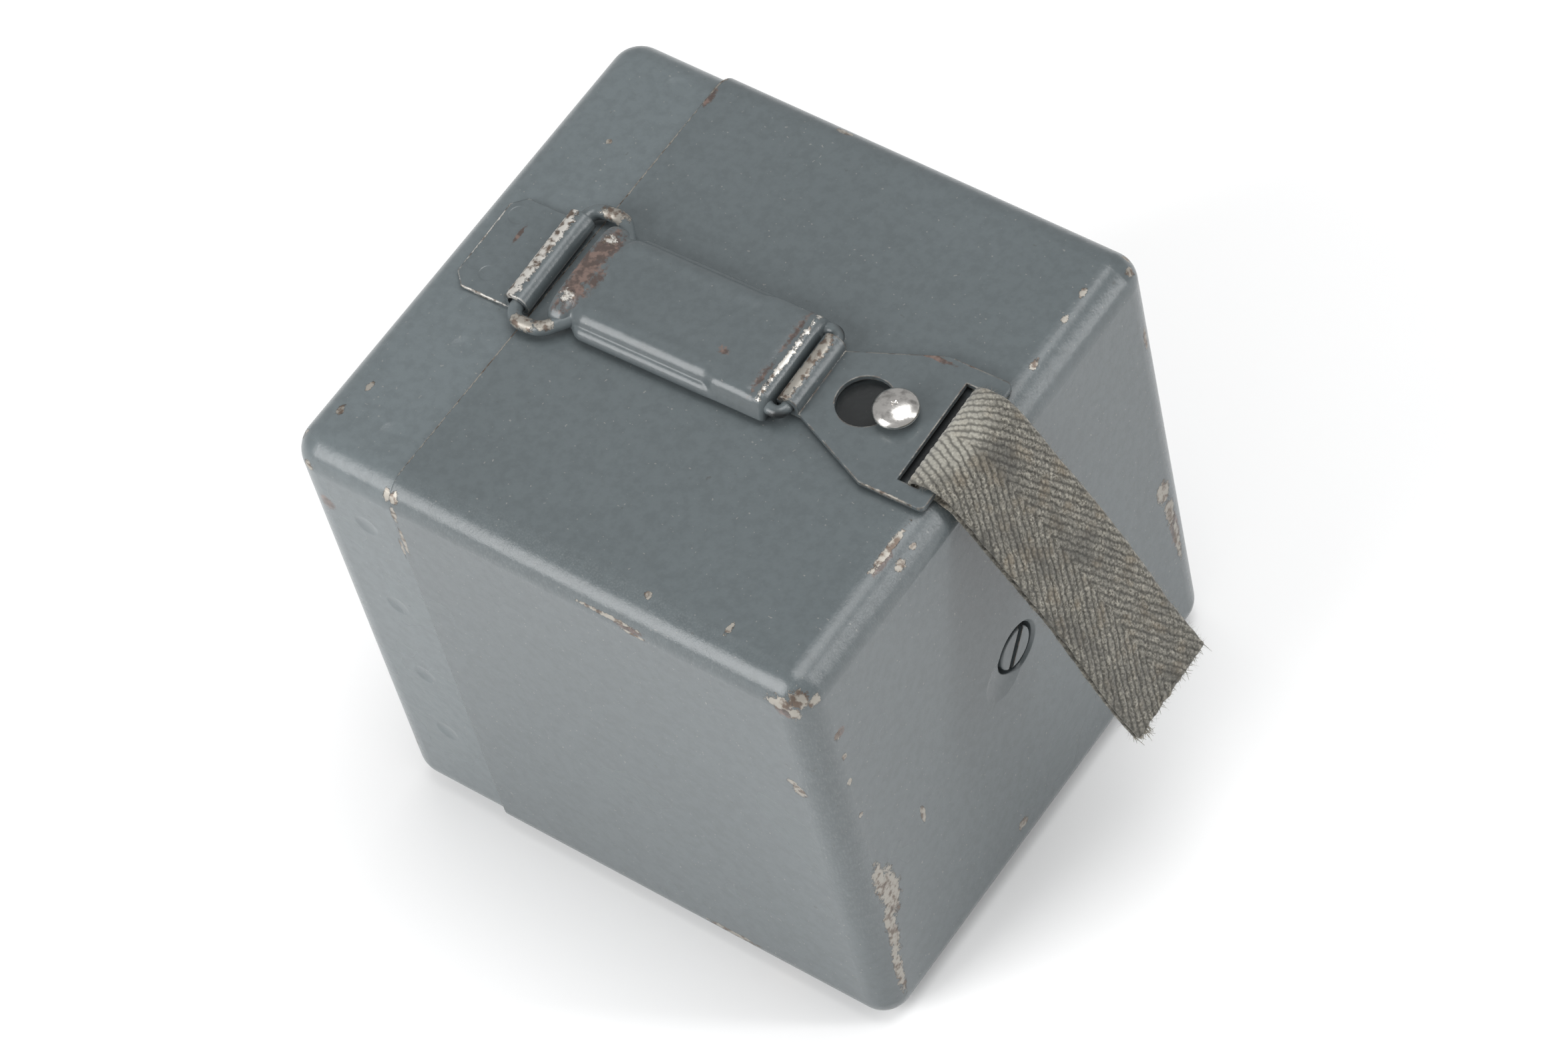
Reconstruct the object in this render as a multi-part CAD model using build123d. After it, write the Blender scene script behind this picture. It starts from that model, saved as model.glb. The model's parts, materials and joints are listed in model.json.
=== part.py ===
from build123d import *
import math
import os

# Bulk film loader: a light-tight sheet-steel case for bulk film on a spindle.
# It lies on its hinge side with the draw latch on top: x runs from the lid's end
# to the end with the screw, y across the case, z up. Millimetres.

# ---- driving dimensions: case
CASE_LENGTH = 110.0
CASE_WIDTH = 103.8
CASE_HEIGHT = 108.6
WALL = 1.0
EDGE_RADIUS = 5.5
STAND_HEIGHT = 1.6
PANEL_X = (-16.0, 49.0)
PANEL_HALF_WIDTH = 43.0
SEAM_X = -32.0
SEAM_GAP = 0.2
LID_INSET = 0.5
LID_EDGE_RADIUS = 6.0
BAND_THICKNESS = 0.8
BAND_X = (-44.0, -24.0)

# ---- driving dimensions: hinge
HINGE_LENGTH = 70.0
HINGE_KNUCKLES = 5
KNUCKLE_ROOM = 0.1
BARREL_RADIUS = 1.3
PIN_RADIUS = 0.7
LEAF_THICKNESS = 0.8
LEAF_WIDTH = 12.0

# ---- driving dimensions: screw, spindle and spool
AXIS_Y = -0.2
AXIS_ABOVE_BASE = 55.4
RECESS_DEPTH = 3.3
RECESS_RADIUS = 5.2
RIM_BEVEL = 0.5
DENT_RADIUS = 5.5
DENT_DEPTH = 0.6
SCREW_HEAD_RADIUS = 4.3
SCREW_HEAD_HEIGHT = 2.7
SCREW_RADIUS = 2.0
SPINDLE_RADIUS = 5.0
SPINDLE_TIP_RADIUS = 3.0
HUB_RADIUS = 12.6
CORE_RADIUS = 25.0
ROLL_RADIUS = 45.0
FLANGE_RADIUS = 46.5
FILM_WIDTH = 35.0
DISC_THICKNESS = 1.0

# ---- driving dimensions: latch, in its own line u from the lid to the strap
LATCH_TURN = 1.6
LATCH_Y = 0.4
LID_CURL_U = -34.1
LINK_U = 20.4
STUD_U = 37.5
KEYHOLE_TRAVEL = 6.5
BAIL_RADIUS = 1.35
LEG_RADIUS = 1.15
LINK_RADIUS = 1.15
RUNNING_GAP = 0.05
SPRING_RADIUS = 1.66
WASHER_U = (-0.6, 0.0)
COVER_SHEET = 0.8
COVER_U = (-22.0, 17.0)
LIP_U = -27.4
STRAP_WIDTH = 21.6
STRAP_PLY = 1.1

# ---- worked out from them
BASE_Z = STAND_HEIGHT
TOP_Z = BASE_Z + CASE_HEIGHT
END_X = CASE_LENGTH / 2
HALF_WIDTH = CASE_WIDTH / 2
LID_X = (-CASE_LENGTH / 2, SEAM_X - SEAM_GAP)
LID_TOP = TOP_Z - LID_INSET
AXIS_Z = BASE_Z + AXIS_ABOVE_BASE
CUP_X = END_X - RECESS_DEPTH - WALL
CURL_SHEET = 0.9
LID_CURL_RADIUS = BAIL_RADIUS + RUNNING_GAP + CURL_SHEET
BAR_Z = LID_TOP + LID_CURL_RADIUS
LEG_Z = TOP_Z + 2.8
LEG_W = 7.9
COVER_FLOOR_Z = TOP_Z + 1.1
COVER_TOP_Z = TOP_Z + 4.9
PLATE_Z = TOP_Z + 0.85
PLATE_THICKNESS = 1.0
LINK_CURL_RADIUS = LINK_RADIUS + RUNNING_GAP + PLATE_THICKNESS
LINK_Z = PLATE_Z + LINK_CURL_RADIUS
SPINDLE_TIP_X = -38.0
FILM_GAP = 0.1
FLANGE_OUTER_X = (CUP_X - 6.3, CUP_X - 6.3 + DISC_THICKNESS)
ROLL_OUTER_X = (FLANGE_OUTER_X[0] - FILM_WIDTH - FILM_GAP, FLANGE_OUTER_X[0] - FILM_GAP)
DIVIDER_X = (ROLL_OUTER_X[0] - FILM_GAP - DISC_THICKNESS, ROLL_OUTER_X[0] - FILM_GAP)
ROLL_INNER_X = (DIVIDER_X[0] - FILM_WIDTH - FILM_GAP, DIVIDER_X[0] - FILM_GAP)
FLANGE_INNER_X = (ROLL_INNER_X[0] - FILM_GAP - DISC_THICKNESS, ROLL_INNER_X[0] - FILM_GAP)


def block(x, y, z):
    """Box from its low and high limits on each axis."""
    size = (x[1] - x[0], y[1] - y[0], z[1] - z[0])
    middle = ((x[0] + x[1]) / 2, (y[0] + y[1]) / 2, (z[0] + z[1]) / 2)
    return Pos(*middle) * Box(*size)


def rod(radius, x, y, z):
    """Cylinder along x."""
    middle = Pos((x[0] + x[1]) / 2, y, z)
    return middle * Rot(0, 90, 0) * Cylinder(radius, x[1] - x[0])


def cross_rod(radius, x, y, z):
    """Cylinder along y."""
    middle = Pos(x, (y[0] + y[1]) / 2, z)
    return middle * Rot(90, 0, 0) * Cylinder(radius, y[1] - y[0])


def post(radius, x, y, z):
    """Cylinder along z."""
    return Pos(x, y, (z[0] + z[1]) / 2) * Cylinder(radius, z[1] - z[0])


def ring(outer, inner, x, y, z):
    """Tube along x."""
    return rod(outer, x, y, z) - rod(inner, (x[0] - 1, x[1] + 1), y, z)


def soft_block(x, y, z, radius):
    """Box with every edge rounded."""
    solid = block(x, y, z)
    return fillet(solid.edges(), radius)


def ball_radius(rim, depth):
    """Radius of a ball that presses a dent of this rim and depth into a flat sheet."""
    return (rim**2 + depth**2) / (2 * depth)


def in_latch_line(shape):
    """Turn a latch piece about the lid's curl, as the latch sits slightly askew."""
    return Pos(LID_CURL_U, LATCH_Y, 0) * Rot(0, 0, LATCH_TURN) * Pos(-LID_CURL_U, 0, 0) * shape


def latch_point(u, z):
    """Place of a point on the latch's centre line."""
    turn = math.radians(LATCH_TURN)
    reach = u - LID_CURL_U
    return (LID_CURL_U + reach * math.cos(turn), LATCH_Y + reach * math.sin(turn), z)


# ---- case


def standing_panel(inset):
    """Panel pressed down from the under side, so that the case stands clear of its hinge."""
    low = inset
    high = BASE_Z + inset + 0.5
    half = PANEL_HALF_WIDTH - inset
    panel = block((PANEL_X[0] + inset, PANEL_X[1] - inset), (-half, half), (low, high))
    panel = fillet(panel.edges().filter_by(Axis.Z), 6.0 - inset)
    return chamfer(panel.faces().sort_by(Axis.Z)[0].edges(), 1.2)


def body_shell():
    """Folded steel body, open towards the lid, its end pressed in around the screw."""
    reach = SEAM_X - 20
    outside = soft_block((reach, END_X), (-HALF_WIDTH, HALF_WIDTH), (BASE_Z, TOP_Z), EDGE_RADIUS)
    room = HALF_WIDTH - WALL
    inside = soft_block(
        (reach - 5, END_X - WALL), (-room, room), (BASE_Z + WALL, TOP_Z - WALL), EDGE_RADIUS - WALL
    )
    cup = Pos((CUP_X + END_X) / 2 - 0.2, AXIS_Y, AXIS_Z) * Rot(0, 90, 0)
    cup_depth = END_X - CUP_X - 0.4
    dish = Pos(END_X - RECESS_DEPTH / 2 + 0.05, AXIS_Y, AXIS_Z) * Rot(0, 90, 0)
    shell = outside + standing_panel(0) - inside - standing_panel(WALL)
    shell += cup * Cone(RECESS_RADIUS + 0.6, RECESS_RADIUS + 1.0, cup_depth)
    shell -= dish * Cone(RECESS_RADIUS - 0.3, RECESS_RADIUS, RECESS_DEPTH + 0.1)
    rim = Pos(END_X - RIM_BEVEL / 2, AXIS_Y, AXIS_Z) * Rot(0, 90, 0)
    shell -= rim * Cone(RECESS_RADIUS, RECESS_RADIUS + RIM_BEVEL, RIM_BEVEL)
    # A shallow round dent beside the recess, as the screw has drawn the sheet in.
    dent = ball_radius(DENT_RADIUS, DENT_DEPTH)
    shell -= Pos(END_X - DENT_DEPTH + dent, -4.6, AXIS_Z - 2.3) * Sphere(dent)
    shell -= rod(SCREW_RADIUS + RUNNING_GAP, (CUP_X - 1, END_X), AXIS_Y, AXIS_Z)
    stud_x, stud_y, _ = latch_point(STUD_U, 0)
    shell -= post(2.35, stud_x, stud_y, (TOP_Z - 2, TOP_Z + 1))
    shell -= block((reach - 1, SEAM_X), (-60, 60), (-5, TOP_Z + 5))
    notch = HINGE_LENGTH / 2 + 0.3
    shell -= block((SEAM_X - 1, SEAM_X + 1.7), (-notch, notch), (BASE_Z - 1, BASE_Z + WALL + 0.2))
    return shell


def lid_shell():
    """Drawn steel cap, set in slightly from the body, with marks of its band's welds."""
    half = HALF_WIDTH - LID_INSET
    low = BASE_Z + LID_INSET
    outside = soft_block((LID_X[0], 0), (-half, half), (low, LID_TOP), LID_EDGE_RADIUS)
    room = half - WALL
    inside = soft_block(
        (LID_X[0] + WALL, 5), (-room, room), (low + WALL, LID_TOP - WALL), LID_EDGE_RADIUS - WALL
    )
    shell = outside - inside
    shell -= block((LID_X[1], 10), (-60, 60), (-5, TOP_Z + 5))
    notch = HINGE_LENGTH / 2 + 0.3
    shell -= block((LID_X[1] - 1.5, LID_X[1] + 1), (-notch, notch), (BASE_Z - 1, low + WALL + 0.02))
    depth = 0.25
    ball = ball_radius(2.4, depth)
    for above in (92.0, 67.0, 44.5, 25.5):
        for side in (-1, 1):
            shell -= Pos(-40.5, side * (half - depth + ball), BASE_Z + above) * Sphere(ball)
    for y in (43.5, -20.5, -41.0):
        shell -= Pos(-38.5, y, LID_TOP - depth + ball) * Sphere(ball)
        shell -= Pos(-38.5, y, low + depth - ball) * Sphere(ball)
    return shell


def frame_tube(x, half, z, radius, thickness):
    """Thin rectangular tube along x with rounded corners."""
    height = z[1] - z[0]
    plane = Plane(origin=(x[0], 0, (z[0] + z[1]) / 2), x_dir=(0, 1, 0), z_dir=(1, 0, 0))
    outline = RectangleRounded(2 * half, height, radius)
    hole = RectangleRounded(2 * (half - thickness), height - 2 * thickness, radius - thickness)
    return extrude(plane * (outline - hole), x[1] - x[0])


def lid_band():
    """Inner flange welded into the lid, which slides into the body's mouth."""
    inset = LID_INSET + WALL
    return frame_tube(
        BAND_X,
        HALF_WIDTH - inset,
        (BASE_Z + inset, TOP_Z - inset),
        LID_EDGE_RADIUS - WALL,
        BAND_THICKNESS,
    )


def light_seal():
    """Felt strip round the band, behind the seam, on its top and two sides."""
    grow = 0.35
    inset = LID_INSET + WALL - grow
    tube = frame_tube(
        (SEAM_X + 0.4, SEAM_X + 3.4),
        HALF_WIDTH - inset,
        (BASE_Z + inset, TOP_Z - inset),
        LID_EDGE_RADIUS - WALL + grow,
        grow,
    )
    return tube - block((-60, 0), (-60, 60), (0, BASE_Z + 8))


def lid_pad():
    """Felt pad inside the lid's end, which steadies the spool."""
    inner = LID_X[0] + WALL
    pad = block((inner, inner + 3), (AXIS_Y - 30, AXIS_Y + 30), (AXIS_Z - 30, AXIS_Z + 30))
    return fillet(pad.edges().filter_by(Axis.X), 8)


# ---- hinge on the under side


def knuckle_spans(first):
    """Lengths of barrel that belong to one leaf."""
    step = HINGE_LENGTH / HINGE_KNUCKLES
    low = -HINGE_LENGTH / 2
    return [
        (low + index * step + 0.05, low + (index + 1) * step - 0.05)
        for index in range(first, HINGE_KNUCKLES, 2)
    ]


def hinge_leaf(first, x, z, bore):
    """Leaf with its own knuckles; the other leaf's knuckles get room."""
    low = -HINGE_LENGTH / 2
    leaf = block(x, (low, -low), z)
    for span in knuckle_spans(1 - first):
        room = (span[0] - KNUCKLE_ROOM, span[1] + KNUCKLE_ROOM)
        leaf -= cross_rod(BARREL_RADIUS + 0.15, SEAM_X, room, BASE_Z)
    for span in knuckle_spans(first):
        leaf += cross_rod(BARREL_RADIUS, SEAM_X, span, BASE_Z)
    return leaf - cross_rod(bore, SEAM_X, (low - 1, 1 - low), BASE_Z)


def hinge_leaf_body():
    """Leaf welded under the body."""
    x = (SEAM_X, SEAM_X + LEAF_WIDTH)
    return hinge_leaf(0, x, (BASE_Z - LEAF_THICKNESS, BASE_Z), PIN_RADIUS + 0.005)


def hinge_leaf_lid():
    """Leaf welded under the lid."""
    low = BASE_Z + LID_INSET
    x = (SEAM_X - LEAF_WIDTH, SEAM_X)
    return hinge_leaf(1, x, (low - LEAF_THICKNESS, low), PIN_RADIUS + RUNNING_GAP)


def hinge_pin():
    """Pin held by the body's knuckles."""
    half = HINGE_LENGTH / 2
    return cross_rod(PIN_RADIUS, SEAM_X, (-half, half), BASE_Z)


# ---- latch: pieces on the lid


def latch_base_plate():
    """Plate welded on the lid with its end rolled into a loose curl."""
    half = 10.5
    plate = block((-48.9, LID_CURL_U), (-half, half), (LID_TOP, LID_TOP + CURL_SHEET))
    corners = plate.edges().filter_by(Axis.Z).sort_by(Axis.X)[:2]
    plate = chamfer(corners, 2.4)
    slack = 0.7
    curl = (-10.2, 10.2)
    room = (-12, 12)
    outer = LID_CURL_RADIUS
    inner = BAIL_RADIUS + RUNNING_GAP
    plate += cross_rod(outer, LID_CURL_U, curl, BAR_Z)
    plate += cross_rod(outer, LID_CURL_U - slack, curl, BAR_Z)
    plate += block((LID_CURL_U - slack, LID_CURL_U), curl, (BAR_Z - outer, BAR_Z + outer))
    plate -= cross_rod(inner, LID_CURL_U, room, BAR_Z)
    plate -= cross_rod(inner, LID_CURL_U - slack, room, BAR_Z)
    plate -= block((LID_CURL_U - slack, LID_CURL_U), room, (BAR_Z - inner, BAR_Z + inner))
    return plate


def bent_wire(points, radii, radius):
    """Round wire along straight runs joined by bends."""
    path = FilletPolyline(*points, radius=radii)
    start = Plane(origin=path @ 0, z_dir=path % 0)
    return sweep(start * Circle(radius), path=path)


def wire_bail():
    """Bent wire held in the lid's curl, its thinner legs running into the cover."""
    ear = 13.2
    shoulder = -21.5
    corner = (-22.5, LEG_W, LEG_Z)
    rise = BAR_Z + 0.65 * (LEG_Z - BAR_Z)
    half = [
        (shoulder, LEG_W, LEG_Z),
        corner,
        (-27.2, ear, rise),
        (LID_CURL_U, ear, BAR_Z),
    ]
    other = [(u, -w, z) for u, w, z in reversed(half)]
    wire = bent_wire(half + other, [0.9, 4.0, 3.0, 3.0, 4.0, 0.9], BAIL_RADIUS)
    for side in (-1, 1):
        wire += rod(LEG_RADIUS, (shoulder - 0.5, 3.0), side * LEG_W, LEG_Z)
    return wire


def on_each_leg(make):
    """The same piece on both legs of the bail, as separate solids."""
    return make(-LEG_W) + make(LEG_W)


def bail_washers():
    """Washers that the springs push against."""
    return on_each_leg(lambda w: ring(SPRING_RADIUS, LEG_RADIUS, WASHER_U, w, LEG_Z))


def bail_nuts():
    """Round nuts on the ends of the legs."""
    return on_each_leg(lambda w: ring(1.6, LEG_RADIUS, (WASHER_U[1], 1.8), w, LEG_Z))


def bail_springs():
    """Compression springs on the legs, from the cover's shoulders to the washers."""
    wire = 0.24
    start = COVER_U[0] + COVER_SHEET + wire + 0.05
    length = WASHER_U[0] - wire - 0.05 - start
    coils = 11

    def one(w):
        plane = Plane(origin=(start, w, LEG_Z), x_dir=(0, 0, 1), z_dir=(1, 0, 0))
        path = plane * Helix(pitch=length / coils, height=length, radius=SPRING_RADIUS - wire)
        section = Plane(origin=path @ 0, z_dir=path % 0) * Circle(wire)
        return sweep(section, path=path, is_frenet=True)

    return on_each_leg(one)


# ---- latch: cover and link


def channel_section(sheet, u):
    """Middle of the cover: a flat top between two round channels; sheet is its inset."""
    top = COVER_TOP_Z - sheet
    round_radius = 2.8 - sheet
    half = LEG_W + round_radius
    solid = block(u, (-LEG_W, LEG_W), (COVER_FLOOR_Z, top))
    solid += block(u, (-half, half), (COVER_FLOOR_Z, LEG_Z))
    for side in (-1, 1):
        solid += rod(round_radius, u, side * LEG_W, LEG_Z)
    return solid - block((u[0] - 1, u[1] + 1), (-20, 20), (TOP_Z - 5, COVER_FLOOR_Z))


def plain_section(sheet, u):
    """End of the cover: a flat top with steep sides; sheet is its inset."""
    top = COVER_TOP_Z - sheet
    narrow = 9.25 - 0.8 * sheet
    wide = 10.7 - 1.08 * sheet
    low = COVER_FLOOR_Z
    plane = Plane(origin=(u[0], 0, 0), x_dir=(0, 1, 0), z_dir=(1, 0, 0))
    outline = Polyline((-wide, low), (wide, low), (narrow, top), (-narrow, top), close=True)
    return extrude(plane * make_face(outline), u[1] - u[0])


def latch_cover():
    """Stamped cover over the bail's legs and springs, with a lip towards the lid."""
    low, high = COVER_U
    join = 6.0
    cover = channel_section(0, (low, join)) + plain_section(0, (join, high))
    cover = fillet(cover.faces().sort_by(Axis.X)[-1].edges().sort_by(Axis.Z)[-1], 0.9)
    cover -= channel_section(COVER_SHEET, (low + COVER_SHEET, join - COVER_SHEET))
    cover -= plain_section(COVER_SHEET, (join - COVER_SHEET, high - COVER_SHEET))
    cover += block((LIP_U, low + 0.1), (-9.6, 9.6), (COVER_TOP_Z - 0.65, COVER_TOP_Z))
    for side in (-1, 1):
        cover -= rod(BAIL_RADIUS + 0.1, (low - 1, low + COVER_SHEET + 0.1), side * LEG_W, LEG_Z)
    return cover - link_wire()


def cover_base():
    """Plate that closes the cover's under side."""
    return block((COVER_U[0], COVER_U[1] - 0.3), (-10.7, 10.7), (COVER_FLOOR_Z - 0.6, COVER_FLOOR_Z))


def link_wire():
    """Bent wire from the cover's end through the keyhole plate's curl."""
    half = [
        (COVER_U[1] - 5.2, 8.0, LINK_Z),
        (COVER_U[1] - 1.3, 8.0, LINK_Z),
        (COVER_U[1] + 1.0, 9.3, LINK_Z),
        (LINK_U, 9.3, LINK_Z),
    ]
    other = [(u, -w, z) for u, w, z in reversed(half)]
    return bent_wire(half + other, [1.8, 1.8, 1.5, 1.5, 1.8, 1.8], LINK_RADIUS)


def link_anchor():
    """Block inside the cover's end that holds the link's legs."""
    high = COVER_U[1] - COVER_SHEET
    anchor = block((high - 4.0, high), (-8.6, 8.6), (COVER_FLOOR_Z, COVER_TOP_Z - 1.0))
    return anchor - link_wire()


# ---- latch: keyhole plate, strap and stud


def keyhole_plate():
    """Plate with a curl, a keyhole for the stud and a slot for the strap."""
    plane = Plane.XY.offset(PLATE_Z)
    outline = Polyline(
        (LINK_U, -7.4),
        (LINK_U + 2.2, -7.4),
        (38.8, -14.3),
        (51.6, -14.3),
        (51.6, 14.3),
        (38.8, 14.3),
        (LINK_U + 2.2, 7.4),
        (LINK_U, 7.4),
        close=True,
    )
    plate = extrude(plane * make_face(outline), PLATE_THICKNESS)
    plate = fillet(plate.edges().filter_by(Axis.Z).sort_by(Axis.X)[-2:], 1.2)
    depth = (PLATE_Z - 1, PLATE_Z + PLATE_THICKNESS + 1)
    neck_room = 2.6
    hole = STUD_U - KEYHOLE_TRAVEL
    plate -= post(5.2, hole, 0, depth)
    plate -= post(neck_room, STUD_U, 0, depth)
    plate -= block((hole, STUD_U), (-neck_room, neck_room), depth)
    plate -= block((44.4, 48.6), (-10.9, 10.9), depth)
    plate += cross_rod(LINK_CURL_RADIUS, LINK_U, (-7.4, 7.4), LINK_Z)
    return plate - cross_rod(LINK_RADIUS + RUNNING_GAP, LINK_U, (-20, 20), LINK_Z)


def pull_strap():
    """Webbing looped round the plate's end bar and hanging out over the case's edge."""
    half = STRAP_WIDTH / 2
    width = (-half, half)
    thick = 2 * STRAP_PLY
    plate_top = PLATE_Z + PLATE_THICKNESS
    join_u = 52.4
    strap = block((46.9, join_u), width, (TOP_Z + 0.06, plate_top + 0.05 + STRAP_PLY))
    strap -= block((48.5, 51.7), (-20, 20), (PLATE_Z - 0.05, plate_top + 0.05))
    middle = TOP_Z + 1.6
    path = FilletPolyline(
        (join_u - 0.4, 0, middle),
        (54.0, 0, middle),
        (61.4, 0, TOP_Z - 9.6),
        (74.0, 0, TOP_Z - 31.0),
        (84.0, 0, TOP_Z - 48.4),
        radius=[1.9, 12.0, 20.0],
    )
    section = Plane(origin=path @ 0, x_dir=(0, 1, 0), z_dir=path % 0) * Rectangle(STRAP_WIDTH, thick)
    return strap + sweep(section, path=path)


def stud():
    """Mushroom stud riveted through the body's top."""
    x, y, _ = latch_point(STUD_U, 0)
    middle = TOP_Z + 3.9
    height = 1.7
    radius = 4.15
    with BuildPart() as made:
        with BuildSketch(Plane.XZ):
            with Locations((0, middle)):
                Ellipse(radius, height)
            with Locations((-10, middle)):
                Rectangle(20, 20, mode=Mode.SUBTRACT)
        revolve(axis=Axis.Z)
    head = made.part
    neck = post(2.3, 0, 0, (TOP_Z - 3.2, middle))
    tail = post(3.4, 0, 0, (TOP_Z - 3.4, TOP_Z - 2.2))
    pit = Pos(0, 0, middle + height) * Cone(0.3, 0.9, 0.8)
    return Pos(x, y, 0) * (head + neck + tail - pit)


def stud_plate():
    """Backing plate of the stud inside the body."""
    x, y, _ = latch_point(STUD_U, 0)
    plate = block((x - 8, x + 8), (y - 7, y + 7), (TOP_Z - 2.2, TOP_Z - WALL))
    plate = fillet(plate.edges().filter_by(Axis.Z), 2)
    return plate - post(2.35, x, y, (TOP_Z - 4, TOP_Z))


# ---- screw, spindle and spool


def end_screw():
    """Slotted screw sunk in the end's recess, holding the spindle."""
    floor = END_X - RECESS_DEPTH
    washer = 0.4
    high = floor + washer + SCREW_HEAD_HEIGHT
    screw = rod(SCREW_HEAD_RADIUS, (floor + washer, high), AXIS_Y, AXIS_Z)
    screw = fillet(screw.faces().sort_by(Axis.X)[-1].edges(), 0.4)
    screw += rod(SCREW_RADIUS, (CUP_X - 11, floor + washer), AXIS_Y, AXIS_Z)
    cut = Rot(0, 90, 0) * Rot(0, 0, 145) * Box(2 * SCREW_HEAD_RADIUS + 2, 1.4, 2.2)
    return screw - Pos(high, AXIS_Y, AXIS_Z) * cut


def screw_washer():
    """Thin washer under the screw's head."""
    floor = END_X - RECESS_DEPTH
    return ring(4.6, SCREW_RADIUS + RUNNING_GAP, (floor, floor + 0.4), AXIS_Y, AXIS_Z)


def spindle():
    """Post that the spool turns on, flanged at the case's end."""
    made = rod(8.0, (CUP_X - 2, CUP_X), AXIS_Y, AXIS_Z)
    made += rod(SPINDLE_RADIUS, (-28.3, CUP_X - 1), AXIS_Y, AXIS_Z)
    made += rod(SPINDLE_TIP_RADIUS, (SPINDLE_TIP_X, -28), AXIS_Y, AXIS_Z)
    return made - rod(SCREW_RADIUS, (CUP_X - 12, CUP_X + 1), AXIS_Y, AXIS_Z)


def drag_washer():
    """Dished spring washer that keeps the spool from running on."""
    low = FLANGE_OUTER_X[1] + 0.05
    high = CUP_X - 2
    middle = Pos((low + high) / 2, AXIS_Y, AXIS_Z) * Rot(0, 90, 0)
    outside = middle * Cone(9.0, 7.0, high - low)
    inside = Pos(-0.4, 0, 0) * (middle * Cone(8.6, 6.4, high - low))
    return outside - inside - rod(SPINDLE_RADIUS + 0.1, (low - 1, high + 1), AXIS_Y, AXIS_Z)


def spool_hub():
    """Sleeve that carries the cores and turns on the spindle."""
    x = (FLANGE_INNER_X[0], FLANGE_OUTER_X[1])
    return ring(HUB_RADIUS, SPINDLE_RADIUS + RUNNING_GAP, x, AXIS_Y, AXIS_Z)


def spool_disc(x):
    """Flange or divider of the spool, pierced to save weight."""
    disc = ring(FLANGE_RADIUS, HUB_RADIUS, x, AXIS_Y, AXIS_Z)
    for index in range(3):
        angle = math.radians(90 + 120 * index)
        y = AXIS_Y + 35 * math.cos(angle)
        z = AXIS_Z + 35 * math.sin(angle)
        disc -= rod(6.0, (x[0] - 1, x[1] + 1), y, z)
    return disc


def film_core(x):
    """Plastic core inside one roll, with a plain bore on the hub."""
    return ring(CORE_RADIUS, HUB_RADIUS, x, AXIS_Y, AXIS_Z)


def film_roll(x):
    """Wound bulk film."""
    return ring(ROLL_RADIUS, CORE_RADIUS, x, AXIS_Y, AXIS_Z)


def retaining_washer():
    """Washer that keeps the spool on the spindle."""
    return ring(8.0, SPINDLE_TIP_RADIUS, (-29.3, -28.3), AXIS_Y, AXIS_Z)


def retaining_nut():
    """Round thumb nut with grip flats on the spindle's tip."""
    nut = rod(8.5, (-35.5, -29.3), AXIS_Y, AXIS_Z)
    nut = chamfer(nut.edges().filter_by(GeomType.CIRCLE), 0.6)
    for index in range(12):
        angle = math.radians(30 * index)
        y = AXIS_Y + 8.9 * math.cos(angle)
        z = AXIS_Z + 8.9 * math.sin(angle)
        nut -= rod(0.9, (-36, -29), y, z)
    return nut - rod(SPINDLE_TIP_RADIUS, (-37, -28), AXIS_Y, AXIS_Z)


STRAIGHT = {
    "body_shell": body_shell,
    "lid_shell": lid_shell,
    "lid_band": lid_band,
    "light_seal": light_seal,
    "lid_pad": lid_pad,
    "hinge_leaf_body": hinge_leaf_body,
    "hinge_leaf_lid": hinge_leaf_lid,
    "hinge_pin": hinge_pin,
    "stud": stud,
    "stud_plate": stud_plate,
    "end_screw": end_screw,
    "screw_washer": screw_washer,
    "spindle": spindle,
    "drag_washer": drag_washer,
    "spool_hub": spool_hub,
    "spool_flange_outer": lambda: spool_disc(FLANGE_OUTER_X),
    "spool_divider": lambda: spool_disc(DIVIDER_X),
    "spool_flange_inner": lambda: spool_disc(FLANGE_INNER_X),
    "film_core_outer": lambda: film_core(ROLL_OUTER_X),
    "film_core_inner": lambda: film_core(ROLL_INNER_X),
    "film_roll_outer": lambda: film_roll(ROLL_OUTER_X),
    "film_roll_inner": lambda: film_roll(ROLL_INNER_X),
    "retaining_washer": retaining_washer,
    "retaining_nut": retaining_nut,
}

ON_THE_LATCH = {
    "latch_base_plate": latch_base_plate,
    "wire_bail": wire_bail,
    "bail_washers": bail_washers,
    "bail_nuts": bail_nuts,
    "bail_springs": bail_springs,
    "latch_cover": latch_cover,
    "cover_base": cover_base,
    "link_wire": link_wire,
    "link_anchor": link_anchor,
    "keyhole_plate": keyhole_plate,
    "pull_strap": pull_strap,
}

os.makedirs("parts", exist_ok=True)
for name, make in STRAIGHT.items():
    export_step(make(), f"parts/{name}.step")
for name, make in ON_THE_LATCH.items():
    export_step(in_latch_line(make()), f"parts/{name}.step")
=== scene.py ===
import json
import math
import random

import bpy
from mathutils import Matrix, Vector, noise


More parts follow.
